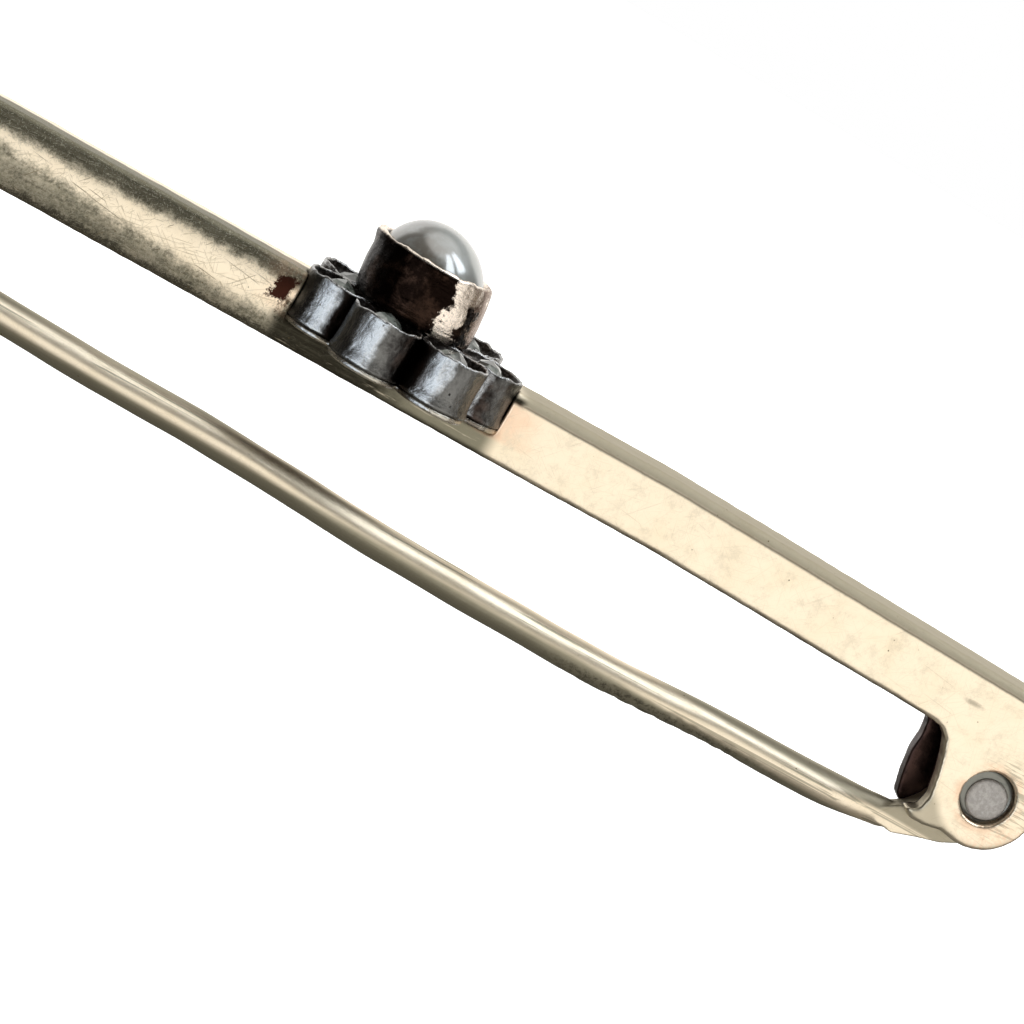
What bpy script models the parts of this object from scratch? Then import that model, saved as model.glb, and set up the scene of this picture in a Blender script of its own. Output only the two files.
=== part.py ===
"""Hinged bar pin: a gold bar with a jewelled cluster, and a pin stem riveted in a fork at its end.

The bar runs along X with its hinge at +X. The jewels are on +Z, and the bar's flat back is the plane z = 0.
Every size below is in millimetres; the scene is in metres.
"""

import math

import bmesh
import bpy
from mathutils import Matrix, Vector

MM = 0.001

# The bar
BAR_LEFT = -29.8
BAR_RIGHT = 31.5
BAR_HEIGHT = 2.9
BAR_THICKNESS = 2.7
BAR_CORNER = 0.8
BEND_START = 12.0
BEND_SLOPE = -0.033
EDGE_ROUND = 0.18

# The hinge: the rivet's axis runs along Y
HINGE_X = 29.25
HINGE_Z = -2.15
LOBE_RADIUS = 2.2
SLOT_WIDTH = 0.94
SLOT_TOP = 0.15
RIVET_RADIUS = 0.55
RIVET_HEAD_RADIUS = 1.08
RIVET_HALF_LENGTH = 1.05
HEAD_DEPTH = 0.18
HEAD_CHAMFER = 0.09
SINK_RADIUS = 1.13
SINK_DEPTH = 0.5
RUNNING_GAP = 0.03

# The stem
STEM_RADIUS = 0.73
TANG_THICKNESS = 0.86
TANG_LEFT = 26.0
EYE_RADIUS = 1.85
TAPER_START = -15.0
TAPER_END = -28.75
TAPER_POWER = 0.6
POINT_RADIUS = 0.04

# The catch, near the bar's free end
CATCH_X = -25.4
CATCH_PAD_LENGTH = 3.0
CATCH_PAD_WIDTH = 2.2
CATCH_PAD_THICKNESS = 0.4
CATCH_SEAT_DEPTH = 0.1
CATCH_SEAT_GAP = 0.1
HOOK_WIDTH = 1.8
HOOK_STRIP = 0.5
HOOK_RADIUS = 1.1
HOOK_SHOULDER = 0.6
HOOK_FOOT = -0.9
HOOK_CENTRE_Z = -3.72
HOOK_LIP_ANGLE = 50.0

# The cluster, centred on the origin's Z axis
PETALS = 7
FIRST_PETAL_ANGLE = -76.5
RING_RADIUS = 3.3
PETAL_RADIUS = 1.41
PETAL_FOOT_RADIUS = 1.38
PETAL_BOTTOM = 1.22
PETAL_TOP = 3.2
PLATE_BOTTOM = 0.98
PLATE_TOP = 1.2
NOTCH_FLOOR = 0.95
NOTCH_GAP = 0.04
STONE_RADIUS = 0.85
STONE_BOTTOM = 2.3
STONE_TOP = 3.3
STONE_RINGS = ((12, 1.0, 0.0), (12, 1.0, 0.5), (6, 0.58, 0.84))
CUP_DEPTH = 0.08
FOIL_THICKNESS = 0.05

# The pearl and its bezel, set a little to the left of the cluster's centre and leaning that way
BEZEL_X = -0.28
BEZEL_LEAN = -0.1
BEZEL_BOTTOM = 3.23
BEZEL_TOP = 5.66
PEARL_RADIUS = 2.24
PEARL_Z = 4.7
POST_RADIUS = 1.7
SETTING_GAP = 0.04
JOINT_GAP = 0.02
TURN_STEPS = 32

ON_EDGE = (math.pi / 2, 0, 0)  # an outline's Y becomes the world's Z
END_ON = (math.pi / 2, 0, math.pi / 2)  # an outline's X becomes the world's Y, and its Y the world's Z
SHARP_ANGLE = math.radians(40)

PARTS = "hinged_bar_pin"
CUTTERS = "cutters"


def clear_scene():
    for obj in list(bpy.data.objects):
        bpy.data.objects.remove(obj, do_unlink=True)


def new_collection(name):
    collection = bpy.data.collections.new(name)
    bpy.context.scene.collection.children.link(collection)
    return collection


def new_material(name, colour, metallic, roughness, transmission=0.0):
    material = bpy.data.materials.new(name)
    material.use_nodes = True
    shader = material.node_tree.nodes["Principled BSDF"]
    shader.inputs["Base Color"].default_value = (*colour, 1.0)
    shader.inputs["Metallic"].default_value = metallic
    shader.inputs["Roughness"].default_value = roughness
    shader.inputs["Transmission Weight"].default_value = transmission
    return material


def place(obj, material, collection, parent=None):
    """Links the object, and keeps it where it is in the world when it is given a parent."""
    obj.data.materials.clear()
    obj.data.materials.append(material)
    collection.objects.link(obj)
    if parent:
        bpy.context.view_layer.update()
        obj.parent = parent
        obj.matrix_parent_inverse = parent.matrix_world.inverted()
    return obj


def shade_round(mesh):
    """Smooth shading on the round faces, with the hard edges kept."""
    mesh.shade_smooth()
    mesh.set_sharp_from_angle(angle=SHARP_ANGLE)


def hide(cutter):
    cutter.hide_render = True
    cutter.display_type = "WIRE"


def arc(centre, radius, start, end, steps):
    """Points of a circle's arc in the plane of an outline, with the angles in degrees."""
    return [
        (
            centre[0] + radius * math.cos(math.radians(start + (end - start) * i / steps)),
            centre[1] + radius * math.sin(math.radians(start + (end - start) * i / steps)),
        )
        for i in range(steps + 1)
    ]


def plate(name, outlines, thickness, location, rotation):
    """A flat solid from closed outlines, the first one its edge and the others its holes, as a welded mesh."""
    curve = bpy.data.curves.new(name, "CURVE")
    curve.dimensions = "2D"
    curve.fill_mode = "BOTH"
    curve.extrude = thickness * MM / 2
    for outline in outlines:
        spline = curve.splines.new("POLY")
        spline.points.add(len(outline) - 1)
        for point, (x, y) in zip(spline.points, outline):
            point.co = (x * MM, y * MM, 0, 1)
        spline.use_cyclic_u = True
    drawn = bpy.data.objects.new(name + "_outline", curve)
    bpy.context.scene.collection.objects.link(drawn)
    bpy.context.view_layer.update()
    mesh = bpy.data.meshes.new_from_object(drawn.evaluated_get(bpy.context.evaluated_depsgraph_get()))
    bpy.data.objects.remove(drawn, do_unlink=True)
    solid = bmesh.new()
    solid.from_mesh(mesh)
    bmesh.ops.remove_doubles(solid, verts=solid.verts, dist=1e-7)
    bmesh.ops.dissolve_limit(
        solid, angle_limit=math.radians(0.2), verts=solid.verts, edges=solid.edges
    )
    bmesh.ops.recalc_face_normals(solid, faces=solid.faces)
    solid.to_mesh(mesh)
    solid.free()
    mesh.name = name
    shade_round(mesh)
    obj = bpy.data.objects.new(name, mesh)
    obj.location = Vector(location) * MM
    obj.rotation_euler = rotation
    return obj


def rod(name, radius, length, location, along_y=False, segments=24):
    solid = bmesh.new()
    bmesh.ops.create_cone(
        solid,
        cap_ends=True,
        segments=segments,
        radius1=radius * MM,
        radius2=radius * MM,
        depth=length * MM,
    )
    mesh = bpy.data.meshes.new(name)
    solid.to_mesh(mesh)
    solid.free()
    shade_round(mesh)
    obj = bpy.data.objects.new(name, mesh)
    obj.location = Vector(location) * MM
    if along_y:
        obj.rotation_euler = ON_EDGE
    return obj


def box(name, low, high):
    solid = bmesh.new()
    bmesh.ops.create_cube(solid, size=MM)
    size = [h - l for l, h in zip(low, high)]
    bmesh.ops.scale(solid, vec=size, verts=solid.verts)
    mesh = bpy.data.meshes.new(name)
    solid.to_mesh(mesh)
    solid.free()
    obj = bpy.data.objects.new(name, mesh)
    obj.location = Vector([(l + h) / 2 for l, h in zip(low, high)]) * MM
    return obj


def turned(name, profile, steps=TURN_STEPS):
    """A solid of revolution about its own Z axis, from (radius, height) points that run down its outer side."""
    solid = bmesh.new()
    points = [solid.verts.new((r * MM, 0, z * MM)) for r, z in profile]
    for first, second in zip(points, points[1:]):
        solid.edges.new((first, second))
    if profile[0][0] > 0:
        solid.edges.new((points[-1], points[0]))
    mesh = bpy.data.meshes.new(name)
    solid.to_mesh(mesh)
    solid.free()
    obj = bpy.data.objects.new(name, mesh)
    screw = obj.modifiers.new("turn", "SCREW")
    screw.steps = steps
    screw.render_steps = steps
    screw.use_merge_vertices = True
    screw.merge_threshold = 1e-6
    screw.use_smooth_shade = True
    return obj


def cut(obj, cutters, collection):
    for cutter in cutters:
        collection.objects.link(cutter)
        hide(cutter)
        boolean = obj.modifiers.new(cutter.name, "BOOLEAN")
        boolean.operation = "DIFFERENCE"
        boolean.object = cutter
        boolean.solver = "EXACT"


def bend(x):
    """How far the bar has dropped at x."""
    return BEND_SLOPE * max(0.0, x - BEND_START)


def bar_outline():
    """The bar from the side, clockwise from its free end, with both ears as wide as the back one."""
    hinge = (HINGE_X, HINGE_Z)
    top_right = BAR_HEIGHT + bend(BAR_RIGHT)
    corner = (BAR_RIGHT - BAR_CORNER, top_right - BAR_CORNER)
    ear_heel = [(28.3, -4.2), (27.5, -4.36), (26.9, -4.34), (26.55, -4.06)]
    ear_side = [(26.3, -3.2), (26.12, -2.2), (26.15, -1.5), (26.05, -0.85), (25.7, bend(25.7))]
    return [
        (BAR_LEFT, 0),
        (BAR_LEFT, BAR_HEIGHT),
        (BEND_START, BAR_HEIGHT),
        *arc(corner, BAR_CORNER, 90, 0, 5),
        *arc(hinge, LOBE_RADIUS, 0, -105, 10),
        *ear_heel,
        *ear_side,
        (BEND_START, 0),
    ]


def front_ear_trim():
    """What the front ear lacks beside the back one."""
    side = [(26.0, -0.49), (26.4, -0.82), (26.7, -1.5), (26.95, -2.3), (27.15, -3.2), (27.05, -3.8)]
    return [(24.9, bend(24.9) - 0.04), *side, (26.6, -4.02), (24.9, -4.15)]


def lobes(radius):
    """The cluster's outline: an arc of the given radius about each petal's centre."""
    points = []
    half_turn = 180.0 / PETALS
    for petal in range(PETALS):
        middle = petal_angle(petal)
        for step in range(-5, 5):
            off = half_turn * step / 5
            reach = RING_RADIUS * math.cos(math.radians(off))
            across = RING_RADIUS * math.sin(math.radians(off))
            distance = reach + math.sqrt(max(0.0, radius**2 - across**2))
            direction = math.radians(middle + off)
            points.append((distance * math.sin(direction), -distance * math.cos(direction)))
    return points


def petal_angle(petal):
    """The petal's bearing in degrees, from -Y towards +X."""
    return FIRST_PETAL_ANGLE + petal * 360.0 / PETALS


def make_bar(material, parts, cutters):
    bar = plate("bar", [bar_outline()], BAR_THICKNESS, (0, 0, 0), ON_EDGE)
    place(bar, material, parts)
    bevel = bar.modifiers.new("edges", "BEVEL")
    bevel.width = EDGE_ROUND * MM
    bevel.segments = 2
    bevel.limit_method = "ANGLE"
    bevel.angle_limit = math.radians(50)
    side = BAR_THICKNESS / 2
    notch_height = BAR_HEIGHT + 1 - NOTCH_FLOOR
    notch = plate(
        "cluster_notch",
        [lobes(PETAL_RADIUS + NOTCH_GAP)],
        notch_height,
        (0, 0, NOTCH_FLOOR + notch_height / 2),
        (0, 0, 0),
    )
    slot = box(
        "fork_slot",
        (25.0, -SLOT_WIDTH / 2, -6.0),
        (BAR_RIGHT + 1, SLOT_WIDTH / 2, SLOT_TOP),
    )
    trim_width = side - SLOT_WIDTH / 2 + 1
    trim = plate(
        "front_ear_trim",
        [front_ear_trim()],
        trim_width,
        (0, -SLOT_WIDTH / 2 - trim_width / 2, 0),
        ON_EDGE,
    )
    hole = rod(
        "rivet_hole",
        RIVET_RADIUS + RUNNING_GAP,
        BAR_THICKNESS + 1,
        (HINGE_X, 0, HINGE_Z),
        along_y=True,
    )
    sinks = [
        rod(
            f"rivet_sink_{label}",
            SINK_RADIUS,
            2 * SINK_DEPTH,
            (HINGE_X, sign * side, HINGE_Z),
            along_y=True,
        )
        for label, sign in (("front", -1), ("back", 1))
    ]
    seat_half = CATCH_PAD_LENGTH / 2 + CATCH_SEAT_GAP
    seat = box(
        "catch_seat",
        (CATCH_X - seat_half, -side - 1, -1),
        (CATCH_X + seat_half, side + 1, CATCH_SEAT_DEPTH),
    )
    cut(bar, [notch, slot, trim, hole, *sinks, seat], cutters)


def make_catch(material, parts):
    pad_top = CATCH_SEAT_DEPTH - JOINT_GAP
    pad = box(
        "catch_plate",
        (CATCH_X - CATCH_PAD_LENGTH / 2, -CATCH_PAD_WIDTH / 2, pad_top - CATCH_PAD_THICKNESS),
        (CATCH_X + CATCH_PAD_LENGTH / 2, CATCH_PAD_WIDTH / 2, pad_top),
    )
    place(pad, material, parts)
    half = HOOK_STRIP / 2
    top = pad_top - CATCH_PAD_THICKNESS - JOINT_GAP
    shoulder = (HOOK_RADIUS - HOOK_SHOULDER, top - half - HOOK_SHOULDER)
    centre = (0.0, HOOK_CENTRE_Z)
    outer = [
        (HOOK_FOOT, top),
        *arc(shoulder, HOOK_SHOULDER + half, 90, 0, 5),
        *arc(centre, HOOK_RADIUS + half, 0, -HOOK_LIP_ANGLE, 5),
    ]
    inner = [
        *arc(centre, HOOK_RADIUS - half, -HOOK_LIP_ANGLE, 0, 5),
        *arc(shoulder, HOOK_SHOULDER - half, 0, 90, 5),
        (HOOK_FOOT, top - HOOK_STRIP),
    ]
    hook = plate("catch_hook", [outer + inner], HOOK_WIDTH, (CATCH_X, 0, 0), END_ON)
    place(hook, material, parts)


def make_rivet(material, parts):
    end = RIVET_HALF_LENGTH
    upper_half = [
        (0, end),
        (RIVET_HEAD_RADIUS - HEAD_CHAMFER, end),
        (RIVET_HEAD_RADIUS, end - HEAD_CHAMFER),
        (RIVET_HEAD_RADIUS, end - HEAD_DEPTH),
        (RIVET_RADIUS, end - HEAD_DEPTH),
    ]
    lower_half = [(radius, -height) for radius, height in reversed(upper_half)]
    rivet = turned("hinge_rivet", upper_half + lower_half, steps=24)
    rivet.location = Vector((HINGE_X, 0, HINGE_Z)) * MM
    rivet.rotation_euler = ON_EDGE
    place(rivet, material, parts)


def knuckle_outline():
    """The tang and the eye, as (x, z) from the rivet's axis."""
    tang = [(TANG_LEFT, -5.66), (26.9, -5.42), (27.95, -5.08)]
    heel = [(28.86, -4.84), (29.65, -4.45), (30.4, -3.8)]
    eye = arc((HINGE_X, HINGE_Z), EYE_RADIUS, -40, 205, 16)
    neck = [(27.3, -3.55), (26.9, -4.05), (TANG_LEFT, -4.26)]
    return [(x - HINGE_X, z - HINGE_Z) for x, z in [*tang, *heel, *eye, *neck]]


def stem_route():
    """The wire's centre line from the tang to its point, as (x, z)."""
    return [
        (25.97, -4.97),
        (25.6, -4.98),
        (25.0, -5.06),
        (23.5, -5.15),
        (21.6, -5.165),
        (19.7, -5.15),
        (17.8, -5.16),
        (15.2, -5.27),
        (13.3, -5.31),
        (11.5, -5.3),
        (9.5, -5.245),
        (7.0, -5.18),
        (5.0, -5.115),
        (3.2, -5.06),
        (1.3, -4.95),
        (-0.5, -4.82),
        (-3.1, -4.66),
        (-5.8, -4.54),
        (-9.3, -4.49),
        (-12.8, -4.33),
        (-16.5, -4.15),
        (-20.0, -3.99),
        (-23.0, -3.86),
        (-25.4, -3.76),
        (-27.6, -3.68),
        (-28.7, -3.64),
    ]


def stem_thickness(x):
    """The wire's radius at x: full to the middle, then drawn down to a point."""
    if x > TAPER_START:
        return STEM_RADIUS
    along = (x - TAPER_END) / (TAPER_START - TAPER_END)
    return max(POINT_RADIUS, STEM_RADIUS * along**TAPER_POWER)


def make_stem(material, parts):
    hinge = bpy.data.objects.new("stem_hinge", None)
    hinge.location = Vector((HINGE_X, 0, HINGE_Z)) * MM
    hinge.empty_display_size = 0.003
    parts.objects.link(hinge)
    hole = arc((0, 0), RIVET_RADIUS + RUNNING_GAP, 0, 345, 23)
    knuckle = plate(
        "stem_knuckle",
        [knuckle_outline(), hole],
        TANG_THICKNESS,
        (HINGE_X, 0, HINGE_Z),
        ON_EDGE,
    )
    place(knuckle, material, parts, hinge)
    route = stem_route()
    curve = bpy.data.curves.new("stem_wire", "CURVE")
    curve.dimensions = "3D"
    curve.bevel_depth = MM
    curve.bevel_resolution = 6
    curve.use_fill_caps = True
    spline = curve.splines.new("POLY")
    spline.points.add(len(route) - 1)
    for point, (x, z) in zip(spline.points, route):
        point.co = (x * MM, 0, z * MM, 1)
        point.radius = stem_thickness(x)
    place(bpy.data.objects.new("stem_wire", curve), material, parts, hinge)


def make_petals(silver, foil_metal, stone, parts):
    cup_radius = STONE_RADIUS + SETTING_GAP
    cup = [
        (0, STONE_BOTTOM - CUP_DEPTH),
        (cup_radius, STONE_BOTTOM - CUP_DEPTH),
        (cup_radius, PETAL_TOP - 0.3),
        (PETAL_RADIUS - 0.2, PETAL_TOP),
        (PETAL_RADIUS - 0.06, PETAL_TOP),
        (PETAL_RADIUS, PETAL_TOP - 0.1),
        (PETAL_RADIUS - 0.02, 2.2),
        (PETAL_FOOT_RADIUS, PETAL_BOTTOM),
        (0, PETAL_BOTTOM),
    ]
    for petal in range(PETALS):
        bearing = math.radians(petal_angle(petal))
        centre = (RING_RADIUS * math.sin(bearing), -RING_RADIUS * math.cos(bearing))
        collet = turned(f"petal_collet_{petal + 1}", cup, steps=24)
        collet.location = Vector((*centre, 0)) * MM
        place(collet, silver, parts)
        foil_z = STONE_BOTTOM - (CUP_DEPTH - JOINT_GAP / 2) / 2
        foil = rod(f"petal_foil_{petal + 1}", STONE_RADIUS - JOINT_GAP, FOIL_THICKNESS, (*centre, foil_z))
        place(foil, foil_metal, parts)
        diamond = rose_cut(f"rose_diamond_{petal + 1}")
        diamond.location = Vector((*centre, STONE_BOTTOM)) * MM
        diamond.rotation_euler = (0, 0, bearing)
        place(diamond, stone, parts)


def rose_cut(name):
    """A flat-backed stone with a hexagonal crown, standing on its own z = 0."""
    height = STONE_TOP - STONE_BOTTOM
    solid = bmesh.new()
    for count, reach, rise in STONE_RINGS:
        radius = STONE_RADIUS * reach * MM
        for i in range(count):
            angle = 2 * math.pi * i / count
            solid.verts.new((radius * math.cos(angle), radius * math.sin(angle), height * rise * MM))
    solid.verts.new((0, 0, height * MM))
    bmesh.ops.convex_hull(solid, input=solid.verts)
    bmesh.ops.recalc_face_normals(solid, faces=solid.faces)
    mesh = bpy.data.meshes.new(name)
    solid.to_mesh(mesh)
    solid.free()
    return bpy.data.objects.new(name, mesh)


def leaning(obj):
    """A turned piece of the pearl's group, set off the cluster's axis and sheared so that it leans to the left."""
    bpy.context.scene.collection.objects.link(obj)
    bpy.context.view_layer.update()
    mesh = bpy.data.meshes.new_from_object(obj.evaluated_get(bpy.context.evaluated_depsgraph_get()))
    bpy.context.scene.collection.objects.unlink(obj)
    obj.modifiers.clear()
    obj.data = mesh
    shear = Matrix.Identity(4)
    shear[0][2] = BEZEL_LEAN
    mesh.transform(shear)
    obj.location = Vector((BEZEL_X - BEZEL_LEAN * BEZEL_BOTTOM, 0, 0)) * MM
    return obj


def pearl_reach(z):
    """The pearl's radius at height z."""
    return math.sqrt(max(0.0, PEARL_RADIUS**2 - (z - PEARL_Z) ** 2))


def make_pearl_group(gold, silver, nacre, parts):
    foot = PLATE_TOP + JOINT_GAP
    head = BEZEL_BOTTOM - JOINT_GAP
    post = turned("gallery_post", [(0, head), (POST_RADIUS, head), (POST_RADIUS, foot), (0, foot)])
    place(post, silver, parts)
    lip = [(2.24, BEZEL_TOP + 0.02), (2.36, 5.54), (2.43, 5.2)]
    wall = [(2.5, 4.6), (2.5, 3.9), (2.46, BEZEL_BOTTOM)]
    inside = [(pearl_reach(z) + SETTING_GAP, z) for z in (BEZEL_BOTTOM, 3.6, 4.1, PEARL_Z, 5.2, BEZEL_TOP)]
    place(leaning(turned("pearl_bezel", [*lip, *wall, *inside])), gold, parts)
    back = BEZEL_BOTTOM + JOINT_GAP
    back_angle = math.degrees(math.asin((back - PEARL_Z) / PEARL_RADIUS))
    dome = [(0, PEARL_Z + PEARL_RADIUS), *arc((0, PEARL_Z), PEARL_RADIUS, 84, back_angle, 13), (0, back)]
    place(leaning(turned("pearl", dome)), nacre, parts)


def main():
    clear_scene()
    parts = new_collection(PARTS)
    cutters = new_collection(CUTTERS)
    gold = new_material("gold", (0.83, 0.74, 0.5), 1.0, 0.32)
    rose_gold = new_material("rose_gold", (0.8, 0.6, 0.42), 1.0, 0.35)
    silver = new_material("oxidised_silver", (0.3, 0.3, 0.32), 1.0, 0.4)
    foil = new_material("foil", (0.75, 0.75, 0.78), 1.0, 0.3)
    steel = new_material("rivet_steel", (0.5, 0.48, 0.46), 1.0, 0.6)
    stone = new_material("diamond", (0.8, 0.83, 0.8), 0.0, 0.05, 0.8)
    nacre = new_material("nacre", (0.72, 0.72, 0.7), 0.0, 0.25)
    make_bar(gold, parts, cutters)
    make_catch(gold, parts)
    make_rivet(steel, parts)
    make_stem(gold, parts)
    cluster_plate = plate(
        "cluster_back_plate",
        [lobes(PETAL_RADIUS - 0.02)],
        PLATE_TOP - PLATE_BOTTOM,
        (0, 0, (PLATE_TOP + PLATE_BOTTOM) / 2),
        (0, 0, 0),
    )
    place(cluster_plate, silver, parts)
    make_petals(silver, foil, stone, parts)
    make_pearl_group(rose_gold, silver, nacre, parts)


main()
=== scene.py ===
"""The looks of the hinged bar pin: a worn gold bar and stem, and a silver flower with stones and a pearl."""

import math
import random

import bmesh
import bpy
import numpy as np
from mathutils import Matrix, Vector, noise


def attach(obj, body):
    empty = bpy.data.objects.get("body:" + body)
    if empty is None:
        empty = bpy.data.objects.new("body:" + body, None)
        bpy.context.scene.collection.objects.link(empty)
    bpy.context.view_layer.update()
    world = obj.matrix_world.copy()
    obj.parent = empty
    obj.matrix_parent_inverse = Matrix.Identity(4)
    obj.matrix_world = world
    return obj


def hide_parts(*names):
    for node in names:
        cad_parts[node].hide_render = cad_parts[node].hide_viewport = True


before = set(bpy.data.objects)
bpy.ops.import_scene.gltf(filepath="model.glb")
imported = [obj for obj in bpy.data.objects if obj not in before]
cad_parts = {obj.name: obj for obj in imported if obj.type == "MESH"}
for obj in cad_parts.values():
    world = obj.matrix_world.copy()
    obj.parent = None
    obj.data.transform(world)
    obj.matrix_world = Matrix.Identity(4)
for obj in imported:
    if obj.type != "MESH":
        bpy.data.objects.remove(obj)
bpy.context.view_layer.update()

MM = 0.001
BROOCH = "brooch"
STEM = "stem"

# The bar, in millimetres
BAR_HEIGHT = 2.9
BAR_HALF_WIDTH = 1.35
BEND_START = 12.0
BEND_SLOPE = -0.033
BAND_START = -7.0
BAND_LENGTH = 10.5
CLUSTER_RIGHT = 4.2
EAR_LEFT = 25.0
DENT_X = 26.6
DENT_HEIGHT = 0.49

# The hinge and the stem
HINGE_X = 29.25
HINGE_Z = -2.15
STEM_RADIUS = 0.73
STEM_ROUTE = (
    (27.6, -4.72), (26.6, -4.90), (25.6, -4.98), (25.0, -5.06), (23.5, -5.15), (21.6, -5.165),
    (19.7, -5.15), (17.8, -5.16), (15.2, -5.27), (13.3, -5.31), (11.5, -5.3), (9.5, -5.245),
    (7.0, -5.18), (5.0, -5.115), (3.2, -5.06), (1.3, -4.95), (-0.5, -4.82), (-3.1, -4.66),
    (-5.8, -4.54), (-9.3, -4.49), (-12.8, -4.33), (-16.5, -4.15), (-20.0, -3.99), (-23.0, -3.86),
    (-25.4, -3.76), (-27.6, -3.68), (-28.7, -3.64),
)
WIRE_LOW_X = 25.0
WIRE_LOW_Z = -5.2
WIRE_HIGH_Z = -3.9
WIRE_SLOPE = 0.0285
STEM_SIDES = 40
STEM_STATIONS = 300
TIP_STATIONS = 10
TIP_START = -27.5
TANG_HALF_WIDTH = 0.44
TANG_LEFT = 26.0
TANG_MIDDLE = -4.96
WIRE_END = 27.5
TAPER_START = -15.0
TAPER_END = -28.75

# The cluster
PETALS = 7
FIRST_PETAL_ANGLE = -76.5
RING_RADIUS = 3.3
PETAL_TOP = 3.2
BEZEL_X = -0.28
BEZEL_LEAN = -0.1
BEZEL_BOTTOM = 3.23
PEARL_RADIUS = 2.24
PEARL_Z = 4.7
STONE_Z = 2.46
STONE_EDGE = 0.012

# Profiles of the turned pieces, as (radius, height)
COLLET_STEPS = 84
CUP_FIRST_RING = 15
COLLET_PROFILE = (
    (1.20, 1.21), (1.42, 1.22), (1.47, 1.28), (1.47, 1.38), (1.44, 1.55), (1.42, 1.80), (1.41, 2.05),
    (1.40, 2.30), (1.405, 2.55), (1.41, 2.80), (1.42, 2.98), (1.42, 3.10), (1.41, 3.17), (1.375, 3.21),
    (1.33, 3.20), (1.30, 3.14), (1.27, 3.04), (1.20, 2.92), (1.08, 2.84), (0.96, 2.83), (0.90, 2.80),
    (0.89, 2.5), (0.88, 2.24),
)
BACK_PLATE_PROFILE = (
    (1.30, 0.985), (1.43, 0.99), (1.465, 1.03), (1.475, 1.10), (1.465, 1.17), (1.43, 1.205), (1.30, 1.21),
)
BEZEL_STEPS = 120
BEZEL_INNER_RING = 14
BEZEL_PROFILE = (
    (2.30, 3.21), (2.40, 3.22), (2.46, 3.28), (2.49, 3.5), (2.50, 3.8), (2.50, 4.1), (2.50, 4.4),
    (2.49, 4.7), (2.47, 5.0), (2.45, 5.2), (2.44, 5.35), (2.43, 5.48), (2.41, 5.58), (2.37, 5.65),
    (2.31, 5.68), (2.25, 5.66), (2.19, 5.60), (2.15, 5.5), (2.14, 5.3), (2.2, 5.0), (2.22, 4.7),
    (2.2, 4.2), (2.0, 3.6), (1.8, 3.24),
)
PEARL_STEPS = 96
PEARL_RINGS = 44

# A rose-cut stone's rings of corners, as (corners, radius, height, unevenness)
STONE_RINGS = ((14, 0.80, 0.0, 0.0), (9, 0.82, 0.42, 0.05), (6, 0.46, 0.74, 0.06), (1, 0.04, 0.90, 0.0))

# The room's patches, as (azimuth from, to, elevation from, to, soft edge, colour, strength), in degrees.
# Azimuth 0 is the side of the photo's camera and 90 is the hinge's. Later patches lie over earlier ones.
ROOM_PATCHES = (
    (-180, 180, 62, 95, 8, (1.0, 0.98, 0.94), 1.3),
    (-60, 60, 19, 58, 5, (0.5, 0.45, 0.35), 0.12),
    (-9, 12, -30, 14, 4, (1.0, 0.97, 0.92), 1.2),
    (8, 74, -38, 14, 5, (1.0, 0.97, 0.92), 1.28),
    (-120, -48, -40, 60, 6, (0.6, 0.55, 0.5), 0.12),
    (-180, 180, -100, -52, 6, (1.0, 0.96, 0.88), 0.3),
    (24, 50, 42, 72, 3, (0.88, 0.94, 1.0), 4.6),
    (62, 92, 44, 72, 3, (0.88, 0.94, 1.0), 4.6),
    (-41, -16, -30, 22, 3, (0.90, 0.95, 1.0), 2.0),
    (84, 118, -60, 40, 6, (0.5, 0.35, 0.25), 0.2),
    (125, 200, -25, 40, 6, (1.0, 0.97, 0.92), 1.3),
    (-200, -125, -15, 45, 6, (1.0, 0.98, 0.95), 1.2),
)
FLOOR_RINGS = ((1.0, -66.0), (400.0, -66.0), (900.0, -66.0), (1500.0, -60.0), (1900.0, -20.0))
FLOOR_STEPS = 120

# The photo's camera
CAMERA_PLACE = (-18.734, -122.770, 19.968)
CAMERA_RIGHT = (0.85771955, -0.09115982, 0.50597141)
CAMERA_UP = (-0.47274756, 0.24694196, 0.84588972)
CAMERA_AHEAD = (0.20205672, 0.96473289, -0.16871136)
FOCAL_SHARE = 3289.47 / 1024.0
SENSOR_WIDTH = 36.0


# ---------------------------------------------------------------- node helpers


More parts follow.
